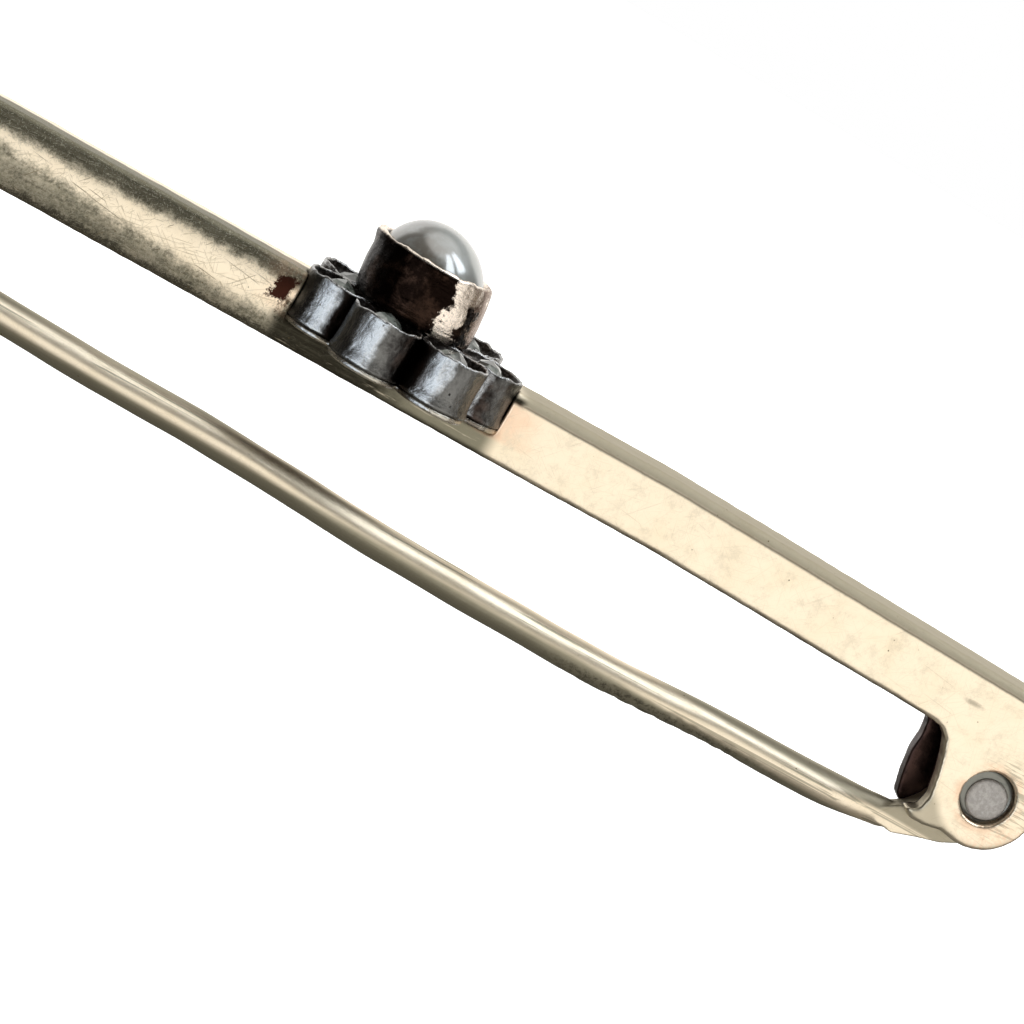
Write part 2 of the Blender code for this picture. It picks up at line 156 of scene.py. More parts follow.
class Graph:
    """A short way to write a material's nodes. Sockets and plain numbers can be mixed in every call."""

    def __init__(self, tree):
        self.tree = tree

    def put(self, socket, value):
        if isinstance(value, bpy.types.NodeSocket):
            self.tree.links.new(value, socket)
        elif hasattr(value, "__len__"):
            socket.default_value = (*value, 1.0)[: len(socket.default_value)]
        else:
            socket.default_value = value

    def math(self, operation, a, b=0.0, c=0.0, clamp=False):
        node = self.tree.nodes.new("ShaderNodeMath")
        node.operation = operation
        node.use_clamp = clamp
        for socket, value in zip(node.inputs, (a, b, c)):
            self.put(socket, value)
        return node.outputs[0]

    def plus(self, a, b):
        return self.math("ADD", a, b)

    def minus(self, a, b):
        return self.math("SUBTRACT", a, b)

    def affine(self, value, scale, offset, clamp=False):
        return self.math("MULTIPLY_ADD", value, scale, offset, clamp)

    def step(self, value, start, end, low=0.0, high=1.0):
        """A smooth step from low, where value is start, to high, where it is end. start may be above end."""
        node = self.tree.nodes.new("ShaderNodeMapRange")
        node.interpolation_type = "SMOOTHSTEP"
        for name, number in (
            ("Value", value),
            ("From Min", min(start, end)),
            ("From Max", max(start, end)),
            ("To Min", low if start < end else high),
            ("To Max", high if start < end else low),
        ):
            self.put(node.inputs[name], number)
        return node.outputs["Result"]

    def band(self, value, low, high, soft):
        rise = self.step(value, low - soft, low + soft)
        fall = self.step(value, high + soft, high - soft)
        return self.math("MULTIPLY", rise, fall)

    def times(self, *values):
        result = values[0]
        for value in values[1:]:
            result = self.math("MULTIPLY", result, value)
        return result

    def either(self, *values):
        result = values[0]
        for value in values[1:]:
            result = self.math("MAXIMUM", result, value)
        return result

    def mix(self, factor, a, b):
        node = self.tree.nodes.new("ShaderNodeMix")
        node.data_type = "RGBA"
        self.put(node.inputs["Factor"], factor)
        self.put(node.inputs["A"], a)
        self.put(node.inputs["B"], b)
        return node.outputs["Result"]

    def position(self):
        """The point in the row frame in millimetres, as a vector."""
        where = self.tree.nodes.new("ShaderNodeTexCoord").outputs["Object"]
        return self.scaled(where, (1000.0, 1000.0, 1000.0))

    def scaled(self, vector, scale, turn=(0.0, 0.0, 0.0), shift=(0.0, 0.0, 0.0)):
        node = self.tree.nodes.new("ShaderNodeMapping")
        self.put(node.inputs["Vector"], vector)
        node.inputs["Scale"].default_value = scale
        node.inputs["Rotation"].default_value = turn
        node.inputs["Location"].default_value = shift
        return node.outputs["Vector"]

    def split(self, vector):
        node = self.tree.nodes.new("ShaderNodeSeparateXYZ")
        self.put(node.inputs[0], vector)
        return node.outputs

    def noise(self, vector, scale, detail=3.0, roughness=0.55):
        node = self.tree.nodes.new("ShaderNodeTexNoise")
        self.put(node.inputs["Vector"], vector)
        for name, number in (("Scale", scale), ("Detail", detail), ("Roughness", roughness)):
            node.inputs[name].default_value = number
        return node.outputs["Fac"]

    def cells(self, vector, scale):
        node = self.tree.nodes.new("ShaderNodeTexVoronoi")
        self.put(node.inputs["Vector"], vector)
        node.inputs["Scale"].default_value = scale
        return node.outputs["Distance"]

    def scratches(self, vector, turns, length, width, amount, seed):
        """Straight scratches in the bar's side. turns are in degrees, length and width in millimetres."""
        lines = []
        for i, turn in enumerate(turns):
            turned = self.scaled(vector, (1.0, 1.0, 1.0), (0.0, math.radians(turn), 0.0))
            shift = (seed + 3.7 * i, 0.0, 1.3 * i)
            drawn = self.scaled(turned, (1.0 / length, 1.0 / width, 1.0 / width), shift=shift)
            lines.append(self.step(self.noise(drawn, 1.0, 1.0, 0.4), 1.0 - amount, 1.06 - amount))
        return self.either(*lines)

    def reach(self, a, b, centre_a, centre_b):
        """The distance of (a, b) from a centre in their plane."""
        across = self.math("POWER", self.minus(a, centre_a), 2.0)
        along = self.math("POWER", self.minus(b, centre_b), 2.0)
        return self.math("SQRT", self.plus(across, along))

    def bump(self, height, strength, distance):
        node = self.tree.nodes.new("ShaderNodeBump")
        self.put(node.inputs["Height"], height)
        node.inputs["Strength"].default_value = strength
        node.inputs["Distance"].default_value = distance * MM
        return node.outputs["Normal"]


def new_material(name):
    material = bpy.data.materials.new(name)
    material.use_nodes = True
    graph = Graph(material.node_tree)
    return material, graph, material.node_tree.nodes["Principled BSDF"]


# Colours of unsoiled, dirty and soldered metal. The grime and soot colours also serve as painted shade; the
# sink and ear colours are painted shade. A silver is its rubbed and its dark colour.
GOLD = (0.94, 0.83, 0.65)
GOLD_DEEP = (0.78, 0.64, 0.42)
OLIVE = (0.27, 0.25, 0.18)
GRIME_AND_SHADE = (0.055, 0.048, 0.032)
COPPER = (0.85, 0.50, 0.32)
FLUX = (0.040, 0.014, 0.009)
SOOT_AND_SHADE = (0.012, 0.009, 0.007)
COLLET_SILVER = ((0.17, 0.17, 0.165), (0.012, 0.009, 0.008))
PLATE_SILVER = ((0.60, 0.57, 0.50), (0.30, 0.27, 0.22))
SINK_SHADE = (0.16, 0.17, 0.16)
EAR_SHADE_BLACK = (0.030, 0.018, 0.016)
EAR_SHADE_BROWN = (0.06, 0.035, 0.03)
SCRATCH_ON_GOLD = (0.50, 0.43, 0.30)
SCRATCH_ON_DIRT = (0.50, 0.47, 0.37)
DEEP_SCRATCH = (0.2, 0.16, 0.09)


def gold_surface(graph, shader, colour, olive_share, dark_share, marks=1.0, base_roughness=0.24, bump_strength=0.35):
    """The gold's fine surface, shared by the bar, the stem and the catch. marks says how scratched it is. The
    olive and grime shares stand for real soiling and, on the bar and the stem, also for painted shade and
    painted dark reflection.
    """
    where = graph.position()
    cloud = graph.noise(where, 0.55, 4.0, 0.6)
    grain = graph.noise(where, 5.0, 5.0, 0.65)
    fine = graph.scratches(where, (12, -38, 64, -75, 33), 1.5, 0.035, 0.335, 2.0)
    deep = graph.scratches(where, (-8, 48), 2.4, 0.07, 0.29, 9.0)
    pits = graph.step(graph.cells(where, 2.3), 0.10, 0.03)
    pit_here = graph.times(pits, graph.step(graph.noise(where, 1.1, 1.0), 0.56, 0.64))
    fine = graph.times(fine, marks)
    deep = graph.times(deep, marks)
    deeper = graph.mix(0.5, colour, GOLD_DEEP)
    tint = graph.mix(graph.times(graph.step(cloud, 0.4, 0.75), 0.5), colour, deeper)
    olive_tinted = graph.mix(olive_share, tint, OLIVE)
    worn = graph.mix(dark_share, olive_tinted, GRIME_AND_SHADE)
    line = graph.mix(graph.either(olive_share, dark_share), SCRATCH_ON_GOLD, SCRATCH_ON_DIRT)
    scored = graph.mix(graph.times(fine, 0.6), worn, line)
    final = graph.mix(graph.either(graph.times(deep, 0.55), pit_here), scored, DEEP_SCRATCH)
    graph.put(shader.inputs["Base Color"], final)
    rough = graph.plus(base_roughness, graph.times(grain, 0.12))
    rough = graph.plus(rough, graph.times(olive_share, 0.16))
    rough = graph.plus(rough, graph.times(dark_share, 0.3))
    graph.put(shader.inputs["Roughness"], rough)
    shader.inputs["Metallic"].default_value = 1.0
    hollow = graph.either(graph.times(fine, 0.35), graph.times(deep, 0.8), pit_here)
    height = graph.minus(graph.times(grain, 0.5), hollow)
    graph.put(shader.inputs["Normal"], graph.bump(height, bump_strength, 0.03))


class BarSpot:
    """A point on the bar, in millimetres, its height as a share of the bar's, and the noises in common."""

    def __init__(self, graph):
        where = graph.position()
        self.where = where
        self.x, self.y, self.z = graph.split(where)
        drop = graph.times(graph.math("MAXIMUM", graph.minus(self.x, BEND_START), 0.0), BEND_SLOPE)
        self.height = graph.math("DIVIDE", graph.minus(self.z, drop), BAR_HEIGHT)
        self.cloud = graph.noise(where, 1.3, 4.0, 0.7)
        self.tooth = graph.noise(where, 8.0, 5.0, 0.8)
        self.streak = graph.noise(graph.scaled(where, (0.5, 5.0, 6.0)), 1.0, 4.0, 0.7)
        self.unsure = graph.plus(graph.minus(self.cloud, 0.5), graph.times(graph.minus(self.tooth, 0.5), 0.9))
        self.ragged = graph.affine(self.unsure, 0.24, self.height)
        self.left = graph.step(self.x, 2.0, -3.0)
        self.right = graph.step(self.x, CLUSTER_RIGHT, CLUSTER_RIGHT + 1.0)
        self.hinge_reach = graph.reach(self.x, self.z, HINGE_X, HINGE_Z)


def left_half(graph, spot):
    """The worn half: a bright band between a band of painted dark reflection above and a mottled tarnished
    band below, with painted shade where the cluster sits and painted highlights.
    """
    away = graph.math("MINIMUM", graph.math("MAXIMUM", graph.minus(BAND_START, spot.x), 0.0), BAND_LENGTH)
    band_bottom = graph.affine(away, 0.028, 0.31)
    band_top = graph.affine(away, -0.006, 0.78)
    below = graph.step(graph.minus(spot.ragged, band_bottom), 0.07, -0.14)
    above = graph.step(graph.minus(spot.ragged, band_top), -0.07, 0.08)
    mottle = graph.step(graph.affine(spot.tooth, 1.2, spot.cloud), 0.85, 1.4)
    # Mottled tarnished band below the bright band, also painting the darker reflection of the face there.
    lower = graph.times(spot.left, below, graph.affine(mottle, -0.35, 0.95))
    # Painted dark reflection: the band above the bright band is darkened, all but a thin line along the top
    # edge.
    upper = graph.times(graph.step(spot.x, -3.2, -4.2), above)
    # Darker towards the bottom edge.
    sill = graph.times(spot.left, graph.step(spot.ragged, 0.17, 0.06))
    # Painted shade on the face beneath the cluster's petals, deepest towards the left.
    cluster_shade = graph.times(
        graph.band(spot.x, -5.0, 4.6, 0.4),
        graph.step(graph.affine(spot.unsure, 0.2, spot.height), 0.46, 0.36),
    )
    deep_cluster_shade = graph.times(cluster_shade, graph.step(graph.affine(spot.cloud, 3.0, spot.x), 3.2, 0.4))
    # Painted highlights: a bright line along the top edge of the left half, and bright streaks in the painted
    # shade beneath the cluster.
    painted_highlights = graph.times(spot.left, graph.step(spot.height, 0.90, 0.95), graph.step(spot.y, 0.0, 0.3))
    glints = graph.times(cluster_shade, graph.step(spot.streak, 0.56, 0.68), graph.step(spot.height, 0.24, 0.10), 0.75)
    # Less darkening along the top edge: part of the painted highlight line there.
    top_edge = graph.step(spot.height, 1.0, 0.93, 0.35, 1.0)
    olive_share = graph.either(lower, upper, cluster_shade)
    dark_share = graph.either(
        graph.times(upper, graph.affine(spot.streak, 1.1, 0.08), top_edge),
        graph.times(sill, 0.8),
        graph.times(deep_cluster_shade, graph.affine(spot.streak, 1.0, 0.42, clamp=True)),
        graph.times(lower, graph.step(graph.affine(spot.tooth, 0.8, spot.streak), 1.10, 0.7), 0.5),
    )
    return olive_share, dark_share, graph.either(painted_highlights, glints), cluster_shade


def right_half(graph, spot):
    """The right half, less dirty than the left: a soft groove painted as a dark line of shade, a duller top
    band darkened as painted shade, painted shade along the hinge ear's lower edge, a darker bottom edge, and
    file marks by the hinge.
    """
    # Painted shade: the narrow top band is darkened.
    top_strip_shade = graph.times(spot.right, graph.step(spot.height, 0.86, 0.90))
    # Painted shade: a dark line stands for the groove.
    groove_height = graph.affine(spot.unsure, 0.012, spot.height)
    groove = graph.times(spot.right, graph.band(groove_height, 0.85, 0.878, 0.018))
    # Darker along the bottom edge, left of the ear.
    foot = graph.times(
        graph.step(graph.affine(spot.cloud, 0.07, spot.height), 0.105, 0.05),
        graph.step(spot.x, EAR_LEFT + 0.6, EAR_LEFT - 0.2),
    )
    # Painted shade on the rounded lower edge of the hinge's ear.
    heel_shade = graph.times(
        graph.step(spot.x, 26.0, 27.0),
        graph.step(spot.z, -2.6, -3.4),
        graph.step(spot.hinge_reach, 1.75, 2.25),
    )
    file_marks = graph.noise(graph.scaled(spot.where, (0.7, 7.0, 9.0)), 1.0, 3.0, 0.6)
    tooling = graph.times(
        graph.step(file_marks, 0.50, 0.62),
        graph.step(spot.x, 28.0, 29.2),
        graph.band(spot.z, -3.6, -0.3, 0.35),
    )
    olive_share = graph.either(graph.times(heel_shade, 0.6), graph.times(top_strip_shade, 0.6), graph.times(tooling, 0.55))
    dark_share = graph.either(graph.times(foot, 0.8), graph.times(groove, 0.62))
    return olive_share, dark_share


def solder_and_shade(graph, spot):
    """The flux patch and the crumbs of solder, with painted shade in the cleft beside the cluster and for a
    dent over the hinge.
    """
    slanted = graph.plus(graph.affine(spot.unsure, 0.85, spot.x), graph.times(spot.height, -0.55))
    flux = graph.times(
        graph.band(slanted, -5.88, -5.18, 0.05),
        graph.band(graph.affine(spot.unsure, 0.26, spot.height), 0.54, 0.85, 0.02),
        graph.step(spot.y, 0.0, -0.5),
    )
    crumbs = graph.times(
        graph.step(graph.affine(spot.tooth, 2.4, spot.x), -4.0, -3.4),
        graph.step(spot.x, -3.1, -3.7),
        graph.step(spot.height, 0.14, 0.3),
        graph.step(spot.height, 0.66, 0.56),
    )
    # Painted shade in the cleft beside the cluster.
    cleft = graph.times(graph.band(spot.x, 4.3, 5.0, 0.2), graph.band(spot.height, 0.84, 0.93, 0.03))
    # Painted shade standing for a dent over the hinge.
    dent_x = graph.math("POWER", graph.minus(spot.x, DENT_X), 2.0)
    dent_z = graph.math("POWER", graph.minus(spot.height, DENT_HEIGHT), 2.0)
    dent = graph.step(graph.plus(graph.affine(dent_z, 110.0, dent_x), spot.cloud), 0.85, 0.5)
    return flux, graph.either(crumbs, cleft, graph.times(dent, 0.45))


def copper_stains(graph, spot):
    """Where heat has drawn the copper out: right of the cluster, round the rivet and at the flux patch."""
    by_cluster = graph.times(
        graph.step(graph.affine(spot.cloud, 2.6, spot.x), 7.6, 5.8),
        graph.step(spot.x, 3.4, 4.0),
        graph.band(spot.height, 0.3, 0.84, 0.05),
    )
    by_flux = graph.times(
        graph.step(spot.x, -7.0, -4.6), graph.step(spot.x, -3.0, -3.6), graph.step(spot.cloud, 0.4, 0.62)
    )
    by_rivet = graph.times(graph.band(spot.hinge_reach, 0.95, 1.45, 0.2), graph.step(spot.cloud, 0.38, 0.6))
    on_lobe = graph.times(
        graph.step(spot.x, 28.6, 30.0), graph.step(spot.z, -2.2, -3.2), graph.step(spot.tooth, 0.4, 0.6)
    )
    return graph.either(
        graph.times(by_cluster, 0.5),
        graph.times(by_rivet, 0.45),
        graph.times(on_lobe, 0.35),
        graph.times(by_flux, graph.step(spot.height, 0.3, 0.45), 0.2),
    )


def bar_material():
    material, graph, shader = new_material("worn_gold_bar_with_painted_light")
    spot = BarSpot(graph)
    left_olive_share, left_dark_share, painted_highlights, cluster_shade = left_half(graph, spot)
    right_olive_share, right_dark_share = right_half(graph, spot)
    flux, crumbs_and_shade = solder_and_shade(graph, spot)
    # No olive or grime is mixed in where highlights are painted.
    off_highlights = graph.minus(1.0, painted_highlights)
    blush = graph.times(spot.right, graph.step(graph.affine(spot.tooth, 0.5, spot.cloud), 0.72, 0.95), 0.17)
    olive_share = graph.either(graph.times(graph.either(left_olive_share, right_olive_share), off_highlights), blush)
    dark_share = graph.times(graph.either(left_dark_share, right_dark_share, crumbs_and_shade), off_highlights)
    marks = graph.affine(graph.step(spot.x, 6.0, -2.0), 0.75, 0.25)
    gold_surface(graph, shader, GOLD, olive_share, dark_share, graph.times(marks, graph.affine(cluster_shade, -0.8, 1.0)))

    dull_strip = graph.times(spot.right, graph.step(spot.height, 0.82, 0.88), 0.3)
    polish = shader.inputs["Roughness"].links[0].from_socket
    graph.put(shader.inputs["Roughness"], graph.plus(polish, dull_strip))

    # Painted shade in the rivet's countersunk recess.
    sink_shade = graph.times(graph.step(spot.hinge_reach, 1.16, 1.06), graph.step(spot.z, 0.0, -0.3), 0.93)
    # Painted shade: the inside of the hinge's fork is painted black.
    in_fork = graph.times(
        graph.step(spot.x, EAR_LEFT - 0.1, EAR_LEFT + 0.4),
        graph.step(spot.z, -0.15, -0.3),
        graph.band(spot.y, -0.66, 0.66, 0.05),
    )
    # Painted shade: the back ear's inner face, seen through the fork, is painted black and dark brown.
    back_ear_shade = graph.times(
        graph.step(spot.y, 0.3, 0.45), graph.step(spot.z, 0.0, -0.2), graph.step(spot.x, 28.5, 26.9)
    )
    colour = shader.inputs["Base Color"].links[0].from_socket
    for mask, shade in (
        (copper_stains(graph, spot), COPPER),
        (flux, FLUX),
        (sink_shade, SINK_SHADE),
        (in_fork, SOOT_AND_SHADE),
        (back_ear_shade, graph.mix(graph.step(spot.cloud, 0.4, 0.6), EAR_SHADE_BLACK, EAR_SHADE_BROWN)),
    ):
        colour = graph.mix(mask, colour, shade)
    graph.put(shader.inputs["Base Color"], colour)
    return material


def stem_material():
    material, graph, shader = new_material("drawn_gold_stem")
    where = graph.position()
    x, _, z = graph.split(where)
    streak = graph.noise(graph.scaled(where, (0.12, 3.0, 3.0)), 1.0, 4.0, 0.6)
    centre_line = graph.affine(graph.minus(WIRE_LOW_X, x), WIRE_SLOPE, WIRE_LOW_Z)
    centre_line = graph.math("MINIMUM", centre_line, WIRE_HIGH_Z)
    # Painted shade on the wire's underside.
    underside_shade = graph.step(graph.minus(graph.affine(streak, 0.35, z), centre_line), 0.0, -0.40)
    rough_patch = graph.times(graph.band(x, 11.5, 21.0, 2.0), graph.step(z, -5.35, -5.6))
    pitted = graph.times(rough_patch, graph.step(graph.noise(where, 3.2, 5.0, 0.8), 0.45, 0.6))
    lines = graph.step(graph.noise(graph.scaled(where, (0.06, 5.0, 5.0)), 1.0, 2.0, 0.5), 0.60, 0.68)
    # Painted dark reflection along the wire's upper side.
    above = graph.minus(z, centre_line)
    top_edge = graph.step(graph.affine(streak, 0.25, above), 0.40, 0.62)
    olive_share = graph.either(
        graph.times(underside_shade, 0.9),
        graph.times(lines, 0.6),
        graph.step(streak, 0.6, 0.8),
        graph.times(top_edge, 0.7),
    )
    soot = graph.times(pitted, 0.6)
    gold_surface(graph, shader, GOLD, olive_share, soot, marks=0.25, base_roughness=0.35, bump_strength=0.25)
    return material


def catch_material():
    material, graph, shader = new_material("soldered_gold_catch")
    where = graph.position()
    olive_share = graph.step(graph.noise(where, 1.2, 5.0, 0.7), 0.5, 0.75)
    seam = graph.times(graph.band(graph.split(where)[2], -0.5, -0.2, 0.05), 0.7)
    gold_surface(graph, shader, GOLD_DEEP, olive_share, seam)
    return material


# The direction that the petals' painted highlight faces
HIGHLIGHT_X = -0.36
HIGHLIGHT_Y = -0.93


def silver_material(name, light, dark):
    """Oxidised silver: black in the clefts between the petals and bright where they are rubbed, with a
    painted highlight on the faces turned one way.
    """
    material, graph, shader = new_material(name)
    where = graph.position()
    x, y, z = graph.split(where)
    broad = graph.noise(where, 0.9, 5.0, 0.7)
    grain = graph.noise(where, 5.5, 6.0, 0.72)
    hammered = graph.noise(graph.scaled(where, (1.0, 1.0, 0.55)), 2.2, 3.0, 0.55)
    outward = graph.reach(x, y, 0.0, 0.0)
    unsure = graph.minus(graph.affine(grain, 0.5, broad), 0.75)
    rubbed = graph.step(graph.affine(unsure, 2.2, outward), 3.75, 4.9)
    specks = graph.cells(graph.scaled(where, (1.0, 1.0, 0.7)), 2.6)
    pits = graph.times(graph.step(specks, 0.12, 0.03), graph.step(broad, 0.5, 0.6))
    blot = graph.step(graph.affine(grain, 0.6, broad), 0.98, 1.12)
    # Painted highlight: pale silver on the outer faces turned towards that direction.
    facing = graph.split(graph.tree.nodes.new("ShaderNodeNewGeometry").outputs["Normal"])
    facing = graph.plus(graph.times(facing[0], HIGHLIGHT_X), graph.times(facing[1], HIGHLIGHT_Y))
    painted_highlight = graph.times(
        graph.step(graph.affine(unsure, 0.16, facing), 0.90, 0.99), graph.step(outward, 3.0, 3.8)
    )
    colour = graph.mix(rubbed, dark, light)
    colour = graph.mix(graph.times(painted_highlight, 0.85), colour, (0.70, 0.74, 0.78))
    brown = graph.times(graph.step(graph.noise(where, 0.8, 3.0), 0.46, 0.62), graph.step(rubbed, 0.9, 0.3))
    colour = graph.mix(graph.times(brown, 0.6), colour, (0.085, 0.062, 0.052))
    colour = graph.mix(graph.either(graph.times(blot, 0.75), pits), colour, SOOT_AND_SHADE)
    edge = graph.times(
        graph.step(graph.affine(grain, 0.12, z), PETAL_TOP - 0.03, PETAL_TOP + 0.05),
        graph.step(grain, 0.36, 0.5),
    )
    colour = graph.mix(graph.times(edge, 0.75), colour, (0.60, 0.60, 0.60))
    graph.put(shader.inputs["Base Color"], colour)
    shader.inputs["Metallic"].default_value = 1.0
    graph.put(shader.inputs["Roughness"], graph.affine(grain, 0.22, 0.12))
    height = graph.minus(graph.affine(grain, 0.5, hammered), graph.times(pits, 0.8))
    graph.put(shader.inputs["Normal"], graph.bump(height, 0.6, 0.10))
    return material


def cup_material():
    """The blackened setting inside a petal's rim."""
    material, graph, shader = new_material("blackened_cup")
    grain = graph.noise(graph.position(), 6.0, 5.0, 0.7)
    graph.put(shader.inputs["Base Color"], graph.mix(graph.step(grain, 0.45, 0.7), SOOT_AND_SHADE, (0.10, 0.09, 0.085)))
    graph.put(shader.inputs["Roughness"], graph.affine(grain, 0.3, 0.2))
    shader.inputs["Metallic"].default_value = 0.8
    graph.put(shader.inputs["Normal"], graph.bump(grain, 0.6, 0.05))
    return material


def bezel_material():
    material, graph, shader = new_material("rose_gold_bezel_tarnished_with_painted_reflection")
    where = graph.position()
    x, y, z = graph.split(where)
    broad = graph.noise(where, 1.1, 4.0, 0.65)
    grain = graph.noise(where, 5.0, 6.0, 0.7)
    shifted = graph.affine(graph.minus(broad, 0.5), 1.6, x)
    torn = graph.affine(graph.minus(grain, 0.5), 0.7, shifted)
    # Partly tarnished metal and partly painted dark reflection: the left side and a band on the front right
    # are painted nearly black.
    dark_left = graph.times(graph.step(torn, 0.42, 0.25), graph.step(z, 5.66, 5.56))
    dark_right = graph.times(
        graph.band(torn, 1.15, 1.62, 0.08), graph.step(z, 5.0, 4.8), graph.step(y, -0.5, -1.0)
    )
    tarnish_and_dark_reflection = graph.either(dark_left, dark_right)
    # Browner on the right: partly tarnished metal, partly painted reflection.
    brown_right = graph.step(torn, 1.45, 1.75)
    gold = graph.mix(graph.times(brown_right, 0.9), (1.0, 0.89, 0.78), (0.20, 0.12, 0.08))
    gold = graph.mix(graph.step(grain, 0.58, 0.7), gold, (0.96, 0.76, 0.64))
    brown = graph.mix(graph.step(broad, 0.45, 0.62), (0.007, 0.004, 0.003), (0.035, 0.020, 0.014))
    graph.put(shader.inputs["Base Color"], graph.mix(tarnish_and_dark_reflection, gold, brown))
    shader.inputs["Metallic"].default_value = 1.0
    graph.put(shader.inputs["Roughness"], graph.affine(grain, 0.22, 0.15))
    ripple = graph.noise(graph.scaled(where, (0.7, 0.7, 2.4)), 1.6, 4.0, 0.6)
    height = graph.plus(graph.times(ripple, 1.0), graph.times(grain, 0.35))
    graph.put(shader.inputs["Normal"], graph.bump(height, 0.55, 0.09))
    return material


def pearl_material():
    material, graph, shader = new_material("silver_grey_pearl")
    where = graph.position()
    x, _, z = graph.split(where)
    # Painted reflection: the lower left of the pearl is painted dark brown.
    lean = graph.plus(graph.times(x, 0.8), graph.times(z, 0.55))
    brown = graph.step(graph.affine(graph.noise(where, 0.8, 2.0), 0.9, lean), 3.9, 2.6)
    body = graph.mix(graph.times(brown, 0.8), (0.23, 0.245, 0.235), (0.10, 0.078, 0.055))
    skin = graph.noise(where, 2.2, 4.0, 0.5)
    body = graph.mix(graph.step(skin, 0.4, 0.7), body, graph.mix(0.5, body, (0.29, 0.31, 0.31)))
    # Painted sheen: paler towards the pearl's outline.
    facing = graph.tree.nodes.new("ShaderNodeLayerWeight")
    facing.inputs["Blend"].default_value = 0.35
    rim_sheen_share = graph.times(facing.outputs["Facing"], 0.5)
    graph.put(shader.inputs["Base Color"], graph.mix(rim_sheen_share, body, (0.33, 0.36, 0.355)))
    shader.inputs["Metallic"].default_value = 0.25
    graph.put(shader.inputs["Roughness"], graph.affine(skin, 0.12, 0.26))
    shader.inputs["Coat Weight"].default_value = 1.0
    shader.inputs["Coat Roughness"].default_value = 0.1
    shader.inputs["Coat IOR"].default_value = 2.3
    shader.inputs["Sheen Weight"].default_value = 0.1
    graph.put(shader.inputs["Normal"], graph.bump(skin, 0.15, 0.02))
    return material


def stone_material():
    material, graph, shader = new_material("rose_cut_stone")
    where = graph.position()
    cloud = graph.noise(where, 1.4, 3.0, 0.6)
    colour = graph.mix(graph.step(cloud, 0.4, 0.62), (0.05, 0.055, 0.05), (0.25, 0.275, 0.245))
    graph.put(shader.inputs["Base Color"], colour)
    graph.put(shader.inputs["Roughness"], graph.affine(cloud, 0.1, 0.03))
    shader.inputs["IOR"].default_value = 2.1
    shader.inputs["Transmission Weight"].default_value = 0.25
    graph.put(shader.inputs["Normal"], graph.bump(graph.noise(where, 4.0, 2.0), 0.06, 0.02))
    return material


def foil_material():
    material, graph, shader = new_material("crumpled_foil")
    where = graph.position()
    grain = graph.noise(where, 4.0, 4.0, 0.6)
    graph.put(shader.inputs["Base Color"], graph.mix(grain, (0.35, 0.36, 0.38), (0.75, 0.76, 0.78)))
    graph.put(shader.inputs["Roughness"], graph.affine(grain, 0.2, 0.2))
    shader.inputs["Metallic"].default_value = 1.0
    graph.put(shader.inputs["Normal"], graph.bump(grain, 0.4, 0.03))
    return material


def rivet_material():
    material, graph, shader = new_material("matte_grey_rivet")
    where = graph.position()
    grain = graph.noise(where, 5.5, 6.0, 0.75)
    spots = graph.step(graph.cells(where, 3.0), 0.16, 0.05)
    colour = graph.mix(graph.step(grain, 0.4, 0.62), (0.31, 0.29, 0.265), (0.42, 0.39, 0.36))
    graph.put(shader.inputs["Base Color"], graph.mix(graph.times(spots, 0.3), colour, (0.62, 0.61, 0.60)))
    graph.put(shader.inputs["Roughness"], graph.affine(grain, 0.2, 0.6))
    shader.inputs["Metallic"].default_value = 0.2
    graph.put(shader.inputs["Normal"], graph.bump(grain, 0.5, 0.04))
    return material


# ---------------------------------------------------------------- mesh helpers


def new_piece(name, mesh, material, body, slot_name, *replaced):
    """Links the piece, gives it its finish, and hangs it on its CAD body."""
    obj = bpy.data.objects.new(name, mesh)
    bpy.context.scene.collection.objects.link(obj)
    mesh.materials.clear()
    mesh.materials.append(material)
    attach(obj, body)
    if replaced:
        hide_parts(*replaced)
    return obj


def remeshed(name, meshes, voxel, smoothing):
    """One continuous skin around the given closed meshes, with its hard edges rubbed down."""
    joined = bmesh.new()
    for mesh in meshes:
        joined.from_mesh(mesh)
    mesh = bpy.data.meshes.new(name)
    joined.to_mesh(mesh)
    joined.free()
    obj = bpy.data.objects.new(name, mesh)
    bpy.context.scene.collection.objects.link(obj)
    skin = obj.modifiers.new("skin", "REMESH")
    skin.mode = "VOXEL"
    skin.voxel_size = voxel * MM
    soft = obj.modifiers.new("rubbed", "SMOOTH")
    soft.factor = 0.5
    soft.iterations = smoothing
    bpy.context.view_layer.update()
    result = bpy.data.meshes.new_from_object(obj.evaluated_get(bpy.context.evaluated_depsgraph_get()))
    bpy.data.objects.remove(obj, do_unlink=True)
    result.name = name
    result.shade_smooth()
    return result


def points_of(mesh):
    """The mesh's vertices and their normals, in millimetres."""
    points = np.empty(len(mesh.vertices) * 3)
    mesh.vertices.foreach_get("co", points)
    normals = np.empty(len(mesh.vertices) * 3)
    mesh.vertices.foreach_get("normal", normals)
    return points.reshape(-1, 3) / MM, normals.reshape(-1, 3)


def set_points(mesh, points):
    mesh.vertices.foreach_set("co", (points * MM).ravel())
    mesh.update()


def roughness_of(points, scale, seed):
    """Smooth noise of about -1 to 1 at each point. scale is in waves a millimetre."""
    shift = Vector((seed * 7.3, seed * 3.1, seed * 11.7))
    return np.array([noise.noise(Vector(p) * scale + shift) for p in points])


def ramp(values, start, end):
    t = np.clip((values - start) / (end - start), 0.0, 1.0)
    return t * t * (3.0 - 2.0 * t)


